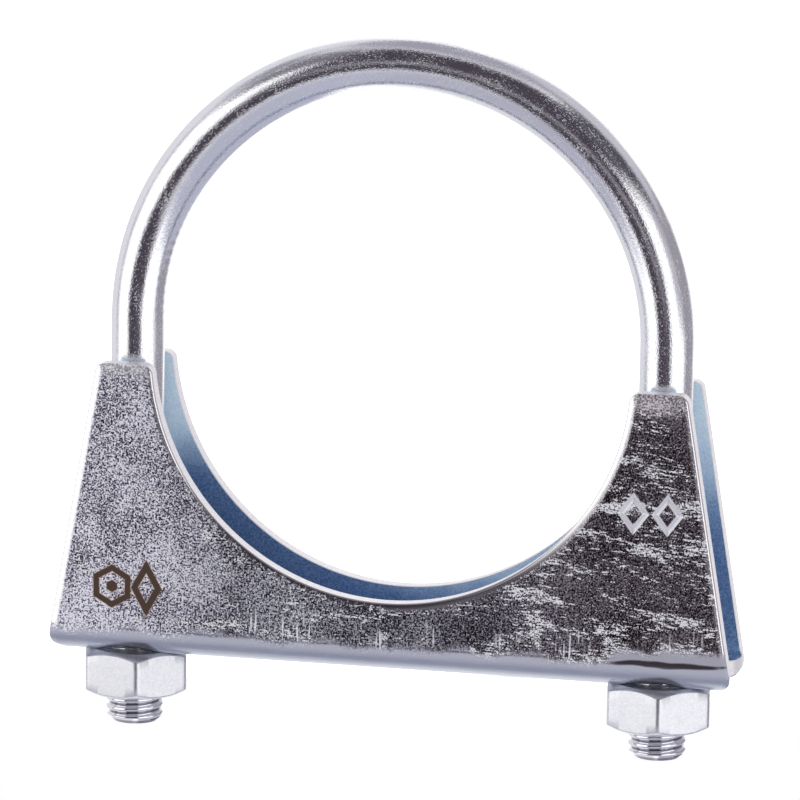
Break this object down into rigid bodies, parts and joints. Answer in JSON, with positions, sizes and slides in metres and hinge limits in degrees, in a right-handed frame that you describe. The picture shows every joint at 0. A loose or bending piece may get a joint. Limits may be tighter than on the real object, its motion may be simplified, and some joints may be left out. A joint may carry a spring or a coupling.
{
  "type": "u-bolt pipe clamp",
  "caption": "U-bolt clamp for an exhaust pipe: a bent threaded rod, a pressed channel saddle with a round pipe seat, and hexagon nuts that draw the rod down onto the pipe.",
  "frame": {"origin": "centre of the saddle's round pipe seat, midway between the saddle's two walls", "axes": "+X from the left leg to the right leg, +Y along the pipe, +Z along the legs towards the crown of the bolt"},
  "size_m": [0.1164, 0.0194, 0.1188],
  "materials": {
    "sheet_zinc": "mottled zinc-plated rolled sheet with drawn-out scratches",
    "rod_zinc": "bright zinc-plated drawn rod",
    "nut_zinc": "satin zinc-plated"
  },
  "bodies": {
    "saddle": {"saddle": "sheet_zinc"},
    "u_bolt": {"u_bolt": "rod_zinc"},
    "nut_left": {"nut_left": "nut_zinc"},
    "nut_right": {"nut_right": "nut_zinc"}
  },
  "joints": [
    {"name": "u_bolt_slide", "type": "slide", "parent": "saddle", "child": "u_bolt", "axis": [0, 0, -1], "range_m": [-0.0045, 0.012]},
    {"name": "nut_left_turn", "type": "hinge", "parent": "saddle", "child": "nut_left", "pos_m": [-0.045, 0, -0.0562], "axis": [0, 0, 1], "range_deg": [-1081, 2881]},
    {"name": "nut_right_turn", "type": "hinge", "parent": "saddle", "child": "nut_right", "pos_m": [0.045, 0, -0.0562], "axis": [0, 0, 1], "range_deg": [-1081, 2881]}
  ],
  "couplings": [
    {"joint": "nut_left_turn", "follows": "u_bolt_slide", "rad_per_m": 4188.8},
    {"joint": "nut_right_turn", "follows": "u_bolt_slide", "rad_per_m": 4188.8}
  ]
}
